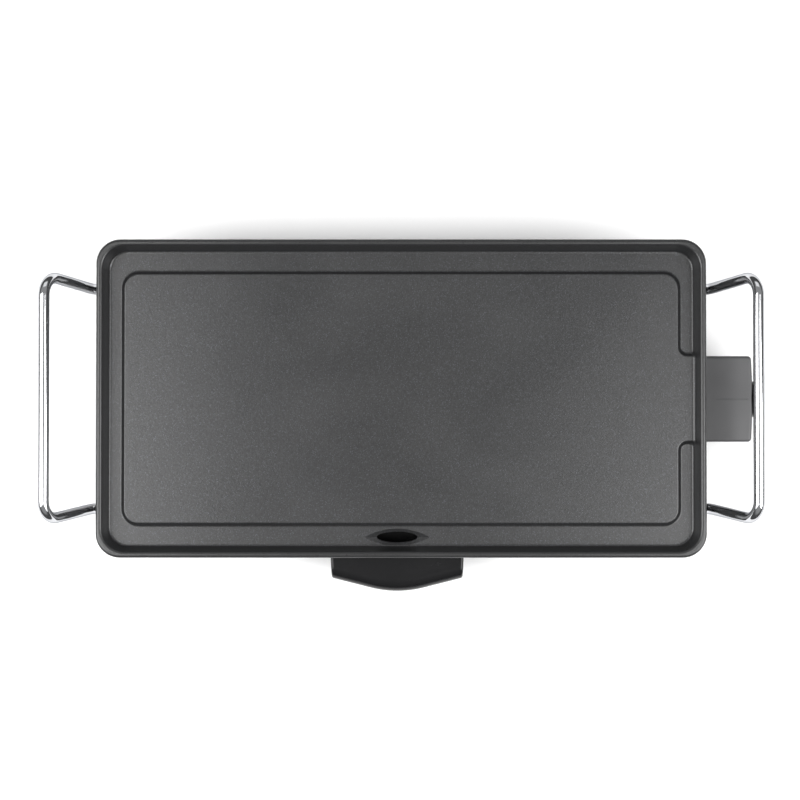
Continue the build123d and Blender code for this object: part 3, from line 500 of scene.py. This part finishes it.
def nonstick_coating(settings):
    """Sprayed non-stick coating: dark base, metal flake, orange-peel grain, and on the rim's crown a
    plain tone with no flake, set darker than the coating as painted shade."""
    material, tree, shader, vector = new_finish("nonstick_coating", Specular_IOR_Level=0.55)
    flake = effect(tree, "Flake", vector, scale=settings.flake_density, threshold=0.72)
    grain = effect(tree, "Grain", vector, scale=700.0, strength=settings.peel, depth=0.00025)
    marks = effect(tree, "Handling", vector, scale=9.0, clean=settings.gloss_low, worn=settings.gloss_high)
    crown = 0.0012
    rim = effect(
        tree, "Height band", vector, height=RIM_TOP - crown, width=crown, raggedness=0.001, scale=90.0
    )
    dark, light = scaled(settings.coating, 0.7), scaled(settings.coating, 1.4)
    ground = tinted(tree, flake.outputs["Tone"], dark, light)
    flaked = tinted(tree, flake.outputs["Mask"], (0, 0, 0), settings.flake)
    tree.links.new(ground.outputs["Result"], flaked.inputs["A"])
    # Painted shade: the crown gets a plain tone darker than the coating, standing in for its dark
    # reflections.
    crown_painted_shade = tinted(tree, rim.outputs["Mask"], (0, 0, 0), scaled(settings.coating, 0.80))
    tree.links.new(flaked.outputs["Result"], crown_painted_shade.inputs["A"])
    tree.links.new(crown_painted_shade.outputs["Result"], shader.inputs["Base Color"])
    tree.links.new(marks.outputs["Value"], shader.inputs["Roughness"])
    tree.links.new(flake.outputs["Mask"], shader.inputs["Metallic"])
    tree.links.new(grain.outputs["Normal"], shader.inputs["Normal"])
    return material


def chromium_plate(settings):
    """Bright chromium plate with faint handling marks over a slightly uneven wire; its dark edge tint
    paints shade along the wire's edges.
    """
    # Painted shade: the dark Specular Tint darkens the reflections towards the wire's edges.
    material, tree, shader, vector = new_finish(
        "chromium_plate", Metallic=1.0, Specular_Tint=(0.25, 0.26, 0.28, 1.0)
    )
    marks = effect(tree, "Handling", vector, scale=35.0, clean=0.045, worn=0.13)
    tone = tinted(tree, marks.outputs["Mask"], settings.plating, scaled(settings.plating, 0.9))
    grain = effect(tree, "Grain", vector, scale=160.0, strength=0.05, depth=0.0001)
    tree.links.new(tone.outputs["Result"], shader.inputs["Base Color"])
    tree.links.new(marks.outputs["Value"], shader.inputs["Roughness"])
    tree.links.new(grain.outputs["Normal"], shader.inputs["Normal"])
    return material


def moulded_plastic(name, colour, rough, grain_scale, grain_strength, specular=0.5):
    """Moulded plastic, ceramic or rubber: grained skin, slight tone variation, handling marks."""
    material, tree, shader, vector = new_finish(name, Specular_IOR_Level=specular)
    grain = effect(tree, "Grain", vector, scale=grain_scale, strength=grain_strength, depth=0.00012)
    marks = effect(tree, "Handling", vector, scale=22.0, clean=rough * 0.85, worn=min(1.0, rough * 1.2))
    tone = tinted(tree, grain.outputs["Height"], scaled(colour, 0.82), scaled(colour, 1.18))
    tree.links.new(tone.outputs["Result"], shader.inputs["Base Color"])
    tree.links.new(marks.outputs["Value"], shader.inputs["Roughness"])
    tree.links.new(grain.outputs["Normal"], shader.inputs["Normal"])
    return material


def worked_metal(name, colour, rough, stretch, strength):
    """Drawn, rolled or ground metal with lines along one axis."""
    material, tree, shader, vector = new_finish(name, Metallic=1.0)
    lines = effect(tree, "Brushing", vector, stretch=stretch, strength=strength)
    marks = effect(tree, "Handling", vector, scale=40.0, clean=rough * 0.8, worn=rough * 1.3)
    tone = tinted(tree, lines.outputs["Tone"], scaled(colour, 0.78), scaled(colour, 1.12))
    tree.links.new(tone.outputs["Result"], shader.inputs["Base Color"])
    tree.links.new(marks.outputs["Value"], shader.inputs["Roughness"])
    tree.links.new(lines.outputs["Normal"], shader.inputs["Normal"])
    return material


def heated_sheath():
    """Steel sheath of the heating element, straw and blue where it has been hot."""
    material, tree, shader, vector = new_finish("heated_sheath", Metallic=1.0)
    heat = effect(tree, "Handling", vector, scale=14.0, clean=0.38, worn=0.55)
    ramp = add_node(tree, "ShaderNodeValToRGB", {"Fac": heat.outputs["Mask"]})
    first, last = ramp.color_ramp.elements
    first.position, first.color = 0.3, (0.20, 0.19, 0.19, 1.0)
    last.position, last.color = 0.75, (0.12, 0.14, 0.20, 1.0)
    for place, colour in ((0.5, (0.28, 0.22, 0.15)), (0.62, (0.16, 0.14, 0.19))):
        ramp.color_ramp.elements.new(place).color = (*colour, 1.0)
    grain = effect(tree, "Grain", vector, scale=500.0, strength=0.12, depth=0.0001)
    tree.links.new(ramp.outputs["Color"], shader.inputs["Base Color"])
    tree.links.new(heat.outputs["Value"], shader.inputs["Roughness"])
    tree.links.new(grain.outputs["Normal"], shader.inputs["Normal"])
    return material


def clear_lens(name, colour, roughness):
    """Tinted clear plastic or glass with faint unevenness."""
    material, tree, shader, vector = new_finish(
        name, Base_Color=(*colour, 1.0), Transmission_Weight=0.85, IOR=1.49, Roughness=roughness
    )
    grain = effect(tree, "Grain", vector, scale=900.0, strength=0.03, depth=0.00005)
    tree.links.new(grain.outputs["Normal"], shader.inputs["Normal"])
    return material


def dress(names, material):
    """Puts a material on carried-over CAD nodes."""
    for name in names:
        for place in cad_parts[name].material_slots:
            place.material = material


# ---------------------------------------------------------------- settings
class PlateSettings(bpy.types.PropertyGroup):
    """Finish of the cast plate."""

    coating: FloatVectorProperty(
        name="Coating",
        description="Base colour of the non-stick coating",
        subtype="COLOR",
        default=(0.0165, 0.0167, 0.0172),
    )
    flake: FloatVectorProperty(
        name="Flake",
        description="Colour of the metal flake in the coating",
        subtype="COLOR",
        default=(0.12, 0.125, 0.14),
    )
    flake_density: FloatProperty(
        name="Flake Density",
        description="Flake cells along one metre of surface",
        default=1500.0,
        min=100.0,
    )
    peel: FloatProperty(
        name="Orange Peel",
        description="Strength of the sprayed grain",
        default=0.32,
        min=0.0,
        max=1.0,
        subtype="FACTOR",
    )
    gloss_low: FloatProperty(
        name="Smooth Roughness",
        description="Roughness where the coating is smoothest",
        default=0.28,
        min=0.0,
        max=1.0,
    )
    gloss_high: FloatProperty(
        name="Dull Roughness",
        description="Roughness where the coating is dullest",
        default=0.38,
        min=0.0,
        max=1.0,
    )


class HandleSettings(bpy.types.PropertyGroup):
    """Sizes and finish of the wire handles."""

    wire: FloatProperty(
        name="Wire Diameter", description="Diameter of the wire", default=0.008, unit="LENGTH"
    )
    bend: FloatProperty(
        name="Bend Radius",
        description="Radius of each bend along the wire's middle",
        default=0.013,
        unit="LENGTH",
    )
    lean: FloatProperty(
        name="Lean",
        description="How far the grip stands out from the arm's lower bend",
        default=0.028,
        unit="LENGTH",
    )
    sides: IntProperty(name="Sides", description="Points round the wire", default=40, min=8)
    plating: FloatVectorProperty(
        name="Plating",
        description="Colour of the chromium plate",
        subtype="COLOR",
        default=(0.580, 0.586, 0.603),
    )


class FootSettings(bpy.types.PropertyGroup):
    """Finish of the feet and sizes of their pads."""

    phenolic: FloatVectorProperty(
        name="Phenolic",
        description="Colour of the moulded feet",
        subtype="COLOR",
        default=(0.022, 0.022, 0.024),
    )
    rubber: FloatVectorProperty(
        name="Rubber", description="Colour of the pads", subtype="COLOR", default=(0.030, 0.030, 0.031)
    )
    groove: FloatProperty(
        name="Tread Depth", description="Depth of the rings under a pad", default=0.0006, unit="LENGTH"
    )


class DrawerSettings(bpy.types.PropertyGroup):
    """Finish of the drip drawer."""

    gloss_black: FloatVectorProperty(
        name="Drawer",
        description="Colour of the drawer's plastic",
        subtype="COLOR",
        default=(0.007, 0.007, 0.0075),
    )


class ControllerSettings(bpy.types.PropertyGroup):
    """Finish of the plug-in controller and sizes of its dial."""

    casing: FloatVectorProperty(
        name="Casing", description="Colour of the casing", subtype="COLOR", default=(0.050, 0.050, 0.052)
    )
    dial: FloatVectorProperty(
        name="Dial", description="Colour of the dial", subtype="COLOR", default=(0.020, 0.020, 0.022)
    )
    ink: FloatVectorProperty(
        name="Ink", description="Colour of the dial's numbers", subtype="COLOR", default=(0.78, 0.78, 0.76)
    )
    flutes: IntProperty(name="Flutes", description="Grip flutes round the dial", default=24, min=6)
    flute_depth: FloatProperty(
        name="Flute Depth",
        description="Depth of a flute as a share of the radius",
        default=0.045,
        min=0.0,
        max=0.2,
    )
    numerals: IntProperty(
        name="Last Number", description="The numbers on the dial go from 0 to this", default=5, min=1, max=9
    )
    numeral_size: FloatProperty(
        name="Numeral Size", description="Height of a number on the dial", default=0.0032, unit="LENGTH"
    )


class StageSettings(bpy.types.PropertyGroup):
    """Floor, light and camera."""

    floor: FloatVectorProperty(
        name="Floor", description="Colour of the floor", subtype="COLOR", default=(0.93, 0.93, 0.93)
    )
    floor_reach: FloatProperty(
        name="Floor Reach", description="Radius of the floor", default=1.15, unit="LENGTH"
    )
    lens: FloatProperty(
        name="Lens", description="Focal length of the camera", default=76.5, subtype="DISTANCE_CAMERA"
    )
    distance: FloatProperty(
        name="Camera Distance", description="Height of the camera over the rim", default=1.25, unit="LENGTH"
    )
    forward: FloatProperty(
        name="Camera Forward",
        description="How far the camera stands to the front of the plate's middle",
        default=0.023,
        unit="LENGTH",
    )
    side_light: FloatProperty(
        name="Side Light", description="Power of each side softbox in watts", default=26.0, min=0.0
    )
    rear_light: FloatProperty(
        name="Rear Light", description="Power of the rear softbox in watts", default=3.0, min=0.0
    )
    walls: FloatProperty(
        name="Walls", description="Strength of the light from the walls", default=0.10, min=0.0
    )
    ceiling: FloatProperty(
        name="Ceiling", description="Strength of the light from overhead", default=0.40, min=0.0
    )


# ---------------------------------------------------------------- operators
class GRIDDLE_OT_plate(bpy.types.Operator):
    """Give the cast plate its non-stick coating"""

    bl_idname = "griddle.plate"
    bl_label = "Plate"

    def execute(self, context):
        dress(["griddle_plate"], nonstick_coating(context.scene.griddle_plate))
        return {"FINISHED"}


class GRIDDLE_OT_handles(bpy.types.Operator):
    """Make the two chromed wire handles"""

    bl_idname = "griddle.handles"
    bl_label = "Handles"

    def execute(self, context):
        settings = context.scene.griddle_handles
        chrome = chromium_plate(settings)
        radius = settings.wire / 2
        for side, sign in zip(SIDES, (-1, 1)):
            low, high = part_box(f"handle_{side}")
            inner, outer = (high.x, low.x + radius) if sign < 0 else (low.x, high.x - radius)
            knee = outer - sign * settings.lean
            front, rear = low.y + radius, high.y - radius
            arm_front, arm_rear = (box_middle(f"foot_pad_{end}_{side}").y for end in ("front", "rear"))
            foot_z, grip_z = low.z + radius, high.z - radius
            corners = np.array(
                [
                    (inner, arm_rear, foot_z),
                    (knee, arm_rear, foot_z),
                    (outer, rear, grip_z),
                    (outer, front, grip_z),
                    (knee, arm_front, foot_z),
                    (inner, arm_front, foot_z),
                ]
            )
            route = rounded_route(corners, settings.bend, ARC_STEPS)
            across = np.array((-sign * (grip_z - foot_z), 0.0, settings.lean))
            grid = wire_surface(route, radius, settings.sides, across / np.linalg.norm(across))
            points, faces = closed_tube(grid)
            handle = mesh_piece(f"wire_handle_{side}", points, faces, "base", chrome)
            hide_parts(f"handle_{side}")
        return {"FINISHED"}


class GRIDDLE_OT_feet(bpy.types.Operator):
    """Finish the moulded feet and make their ringed rubber pads"""

    bl_idname = "griddle.feet"
    bl_label = "Feet"

    def execute(self, context):
        settings = context.scene.griddle_feet
        phenolic = moulded_plastic(
            "phenolic", settings.phenolic, rough=0.34, grain_scale=500.0, grain_strength=0.10
        )
        rubber = moulded_plastic(
            "pad_rubber", settings.rubber, rough=0.72, grain_scale=1400.0, grain_strength=0.25
        )
        dress([f"foot_{corner}" for corner in CORNERS], phenolic)
        steel = worked_metal(
            "zinc_screw", (0.60, 0.61, 0.62), rough=0.30, stretch=(900.0, 900.0, 60.0), strength=0.15
        )
        dress([f"{kind}_{corner}" for kind in ("foot_screw", "handle_screw") for corner in CORNERS], steel)
        for corner in CORNERS:
            low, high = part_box(f"foot_pad_{corner}")
            middle = box_middle(f"foot_pad_{corner}")
            centre = (middle.x, middle.y, low.z)
            along, radius = pad_profile((high.x - low.x) / 2, high.z - low.z, settings.groove)
            points, faces = closed_tube(turned_surface(along, radius, centre, (0, 0, 1), PAD_SIDES))
            pad = mesh_piece(f"rubber_pad_{corner}", points, faces, "base", rubber)
            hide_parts(f"foot_pad_{corner}")
        return {"FINISHED"}


class GRIDDLE_OT_heater(bpy.types.Operator):
    """Finish the heating element, its plug end, the drawer rails and the controller's works"""

    bl_idname = "griddle.heater"
    bl_label = "Element and Works"

    def execute(self, context):
        dress(["heating_element"], heated_sheath())
        ceramic = moulded_plastic(
            "steatite", (0.72, 0.69, 0.62), rough=0.7, grain_scale=800.0, grain_strength=0.2
        )
        insulators = ["pin_insulator_1", "pin_insulator_2", "socket_carrier"]
        dress([*insulators, "thermostat_stack", "blade_spacer"], ceramic)
        brass = worked_metal(
            "flashed_brass", (0.80, 0.70, 0.46), rough=0.24, stretch=(60.0, 1500.0, 1500.0), strength=0.1
        )
        pins = [f"{kind}_{number}" for kind in ("terminal_pin", "contact_socket") for number in (1, 2)]
        dress([*pins, "fixed_contact_blade", "moving_contact_blade", "probe_bush"], brass)
        sheet = worked_metal(
            "zinc_sheet", (0.58, 0.59, 0.60), rough=0.34, stretch=(30.0, 700.0, 700.0), strength=0.12
        )
        rails = [f"drawer_rail_{side}" for side in SIDES]
        dress(["socket_shroud", "earth_clip", "thermostat_frame", *rails], sheet)
        small = worked_metal(
            "zinc_small_screw", (0.62, 0.63, 0.64), rough=0.28, stretch=(900.0, 900.0, 60.0), strength=0.15
        )
        counts = (("shroud_screw", 2), ("rail_screw", 4), ("case_screw", 3))
        screws = [f"{kind}_{number}" for kind, count in counts for number in range(1, count + 1)]
        dress([*screws, "dial_spindle"], small)
        stainless = worked_metal(
            "ground_stainless", (0.56, 0.56, 0.56), rough=0.22, stretch=(900.0, 60.0, 60.0), strength=0.12
        )
        dress(["probe_rod"], stainless)
        return {"FINISHED"}


class GRIDDLE_OT_drawer(bpy.types.Operator):
    """Finish the drip drawer"""

    bl_idname = "griddle.drawer"
    bl_label = "Drip Drawer"

    def execute(self, context):
        black = context.scene.griddle_drawer.gloss_black
        gloss = moulded_plastic(
            "gloss_moulding", black, rough=0.24, grain_scale=350.0, grain_strength=0.03, specular=0.22
        )
        dress(["drip_drawer"], gloss)
        return {"FINISHED"}


class GRIDDLE_OT_controller(bpy.types.Operator):
    """Finish the plug-in controller"""

    bl_idname = "griddle.controller"
    bl_label = "Controller"

    def execute(self, context):
        settings = context.scene.griddle_controller
        casing = moulded_plastic(
            "spark_textured_casing", settings.casing, rough=0.48, grain_scale=1500.0, grain_strength=0.30
        )
        dress(["control_upper_casing", "control_lower_casing"], casing)
        gland = moulded_plastic(
            "gland_rubber", (0.03, 0.03, 0.031), rough=0.62, grain_scale=1200.0, grain_strength=0.2
        )
        dress(["cord_gland"], gland)
        dress(["indicator_lens"], clear_lens("red_lens", (0.80, 0.05, 0.03), roughness=0.08))
        dress(["indicator_lamp"], clear_lens("lamp_glass", (0.95, 0.80, 0.70), roughness=0.02))
        leads = (
            ("lead_live", "brown_lead", (0.20, 0.09, 0.04)),
            ("lead_neutral", "blue_lead", (0.05, 0.14, 0.42)),
        )
        for lead, finish, colour in leads:
            sleeve = moulded_plastic(finish, colour, rough=0.4, grain_scale=900.0, grain_strength=0.05)
            dress([lead], sleeve)
        return {"FINISHED"}


class GRIDDLE_OT_dial(bpy.types.Operator):
    """Make the fluted temperature dial and the numbers on its face"""

    bl_idname = "griddle.dial"
    bl_label = "Dial"

    def execute(self, context):
        settings = context.scene.griddle_controller
        plastic = moulded_plastic(
            "satin_dial", settings.dial, rough=0.36, grain_scale=1200.0, grain_strength=0.12
        )
        middle = box_middle("temperature_dial")
        centre = np.array((DIAL_LOW.x, middle.y, middle.z))
        reach = (DIAL_HIGH.y - DIAL_LOW.y) / 2
        depth = DIAL_HIGH.x - DIAL_LOW.x
        along, radius = dial_profile(reach, depth)
        fluted = ((along > FLUTE_START) & (radius > reach * FLUTE_SHARE))[:, None]

        def ripple(row, angle):
            """1 less flute_depth * max(0, cos(flutes * t)) ** 1.5 on the fluted rings."""
            valley = np.clip(np.cos(settings.flutes * angle), 0, 1) ** 1.5
            return 1 - settings.flute_depth * valley * fluted[row[:, 0]]

        grid = turned_surface(along, radius, centre, (1, 0, 0), settings.flutes * FLUTE_POINTS, ripple)
        points, faces = closed_tube(grid)
        dial = mesh_piece("fluted_dial", points, faces, "dial", plastic)
        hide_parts("temperature_dial")
        self.number_face(settings, centre + (depth - DISH_DEPTH, 0, 0), reach)
        return {"FINISHED"}

    def number_face(self, settings, face, reach):
        """Numbers round the middle of the dial's face: a flat point (x, y) goes to the distance
        NUMERAL_SHARE * reach + y from the middle, turned about the dial's axis by the number's angle."""
        points, faces, count = [], [], 0
        for number in range(settings.numerals + 1):
            angle = np.radians(-DIAL_SWEEP * number / settings.numerals)
            flat, outline = flat_text(str(number), settings.numeral_size)
            out = reach * NUMERAL_SHARE + flat[:, 1]
            turned_y = out * np.sin(angle) + flat[:, 0] * np.cos(angle)
            turned_z = out * np.cos(angle) - flat[:, 0] * np.sin(angle)
            points.append(face + np.stack((flat[:, 2], turned_y, turned_z), axis=-1))
            faces += [[vertex + count for vertex in polygon] for polygon in outline]
            count += len(flat)
        ink = moulded_plastic(
            "dial_ink", settings.ink, rough=0.55, grain_scale=1500.0, grain_strength=0.05
        )
        points = np.concatenate(points)
        mesh_piece("dial_numerals", points, faces, "dial", ink, smooth=False)


class GRIDDLE_OT_stage(bpy.types.Operator):
    """Set up the floor, the soft light and the camera above the plate"""

    bl_idname = "griddle.stage"
    bl_label = "Stage"

    def execute(self, context):
        settings = context.scene.griddle_stage
        scene = context.scene
        scene.view_settings.view_transform = "Standard"
        self.lay_floor(settings)
        self.hang_lights(scene, settings)
        camera_data = bpy.data.cameras.new("camera")
        camera_data.lens = settings.lens
        camera = bpy.data.objects.new("camera", camera_data)
        scene.collection.objects.link(camera)
        target = Vector((PLATE_CENTRE.x, PLATE_CENTRE.y, RIM_TOP)) + CAMERA_AIM
        camera.location = (target.x, PLATE_CENTRE.y - settings.forward, RIM_TOP + settings.distance)
        camera.rotation_mode = "QUATERNION"
        camera.rotation_quaternion = (target - camera.location).to_track_quat("-Z", "Y")
        scene.camera = camera
        return {"FINISHED"}

    def lay_floor(self, settings):
        """A round floor that the pads stand on: point = reach * (cos(t), sin(t), 0)."""
        angle = np.linspace(0, TURN, FLOOR_SIDES, endpoint=False)
        circle = np.column_stack((np.cos(angle), np.sin(angle), np.zeros(FLOOR_SIDES)))
        points = settings.floor_reach * circle
        mesh = bpy.data.meshes.new("floor")
        mesh.from_pydata(points.tolist(), [], [list(range(FLOOR_SIDES))])
        material, tree, shader, vector = new_finish("floor_paper", Roughness=0.9, Specular_IOR_Level=0.1)
        grain = effect(tree, "Grain", vector, scale=300.0, strength=0.02, depth=0.0001)
        dark, light = scaled(settings.floor, 0.995), scaled(settings.floor, 1.005)
        tone = tinted(tree, grain.outputs["Height"], dark, light)
        tree.links.new(tone.outputs["Result"], shader.inputs["Base Color"])
        mesh.materials.append(material)
        floor = bpy.data.objects.new("floor", mesh)
        bpy.context.scene.collection.objects.link(floor)
        floor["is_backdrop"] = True

    def hang_lights(self, scene, settings):
        """Softboxes to the left, the right and behind, in a room with dark walls and a pale ceiling:
        the light goes smoothly from the walls' strength to the ceiling's with height, and the camera
        itself sees a white backdrop."""
        world = bpy.data.worlds.new("studio")
        world.use_nodes = True
        tree = world.node_tree
        background = tree.nodes["Background"]
        background.inputs["Color"].default_value = (1.0, 1.0, 1.0, 1.0)
        direction = tree.nodes.new("ShaderNodeTexCoord").outputs["Generated"]
        axes = add_node(tree, "ShaderNodeSeparateXYZ", {"Vector": direction})
        rise = add_node(
            tree,
            "ShaderNodeMapRange",
            {
                "Value": axes.outputs["Z"],
                "From Min": WALLS_END,
                "From Max": CEILING_START,
                "To Min": settings.walls,
                "To Max": settings.ceiling,
            },
            interpolation_type="SMOOTHSTEP",
        )
        seen = tree.nodes.new("ShaderNodeLightPath").outputs["Is Camera Ray"]
        strength = {0: rise.outputs["Result"], 1: seen}
        backdrop = add_node(tree, "ShaderNodeMath", strength, operation="MAXIMUM")
        tree.links.new(backdrop.outputs["Value"], background.inputs["Strength"])
        scene.world = world
        # name, place, width and length, power
        boxes = (
            ("left_softbox", (-0.95, -0.15, 1.15), (0.9, 1.3), settings.side_light),
            ("right_softbox", (0.95, -0.3, 1.15), (0.9, 1.3), settings.side_light),
            ("rear_softbox", (0.0, 1.4, 1.2), (1.6, 0.7), settings.rear_light),
        )
        for name, place, size, power in boxes:
            light = bpy.data.lights.new(name, "AREA")
            light.shape, light.size, light.size_y, light.energy = "RECTANGLE", *size, power
            lamp = bpy.data.objects.new(name, light)
            lamp.location = place
            lamp.rotation_mode = "QUATERNION"
            lamp.rotation_quaternion = (PLATE_CENTRE - Vector(place)).to_track_quat("-Z", "Y")
            scene.collection.objects.link(lamp)


class GRIDDLE_PT_panel(bpy.types.Panel):
    """Sidebar panel with each piece's settings and its button"""

    bl_idname = "GRIDDLE_PT_panel"
    bl_label = "Electric Griddle"
    bl_space_type = "VIEW_3D"
    bl_region_type = "UI"
    bl_category = "Griddle"

    def draw(self, context):
        for group, operators in PANEL_ROWS:
            box = self.layout.box()
            settings = getattr(context.scene, group)
            for name in settings.__annotations__:
                box.prop(settings, name)
            for operator in operators:
                box.operator(operator.bl_idname)


SETTINGS = {
    "griddle_plate": PlateSettings,
    "griddle_handles": HandleSettings,
    "griddle_feet": FootSettings,
    "griddle_drawer": DrawerSettings,
    "griddle_controller": ControllerSettings,
    "griddle_stage": StageSettings,
}
PANEL_ROWS = (
    ("griddle_plate", (GRIDDLE_OT_plate, GRIDDLE_OT_heater)),
    ("griddle_handles", (GRIDDLE_OT_handles,)),
    ("griddle_feet", (GRIDDLE_OT_feet,)),
    ("griddle_drawer", (GRIDDLE_OT_drawer,)),
    ("griddle_controller", (GRIDDLE_OT_controller, GRIDDLE_OT_dial)),
    ("griddle_stage", (GRIDDLE_OT_stage,)),
)
OPERATORS = [operator for _, operators in PANEL_ROWS for operator in operators]


def register():
    """Registers the settings, the operators and the panel."""
    for name, settings in SETTINGS.items():
        bpy.utils.register_class(settings)
        setattr(bpy.types.Scene, name, PointerProperty(type=settings))
    for operator in OPERATORS:
        bpy.utils.register_class(operator)
    bpy.utils.register_class(GRIDDLE_PT_panel)


def unregister():
    """Undoes register, last first."""
    bpy.utils.unregister_class(GRIDDLE_PT_panel)
    for operator in reversed(OPERATORS):
        bpy.utils.unregister_class(operator)
    for name, settings in reversed(SETTINGS.items()):
        delattr(bpy.types.Scene, name)
        bpy.utils.unregister_class(settings)


def main():
    register()
    bpy.ops.griddle.plate()
    bpy.ops.griddle.heater()
    bpy.ops.griddle.handles()
    bpy.ops.griddle.feet()
    bpy.ops.griddle.drawer()
    bpy.ops.griddle.controller()
    bpy.ops.griddle.dial()
    bpy.ops.griddle.stage()
    boxes = {"cad": CAD_BOX, "visual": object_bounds()}
    boxes = {name: [list(corner) for corner in box] for name, box in boxes.items()}


if __name__ == "__main__":
    main()
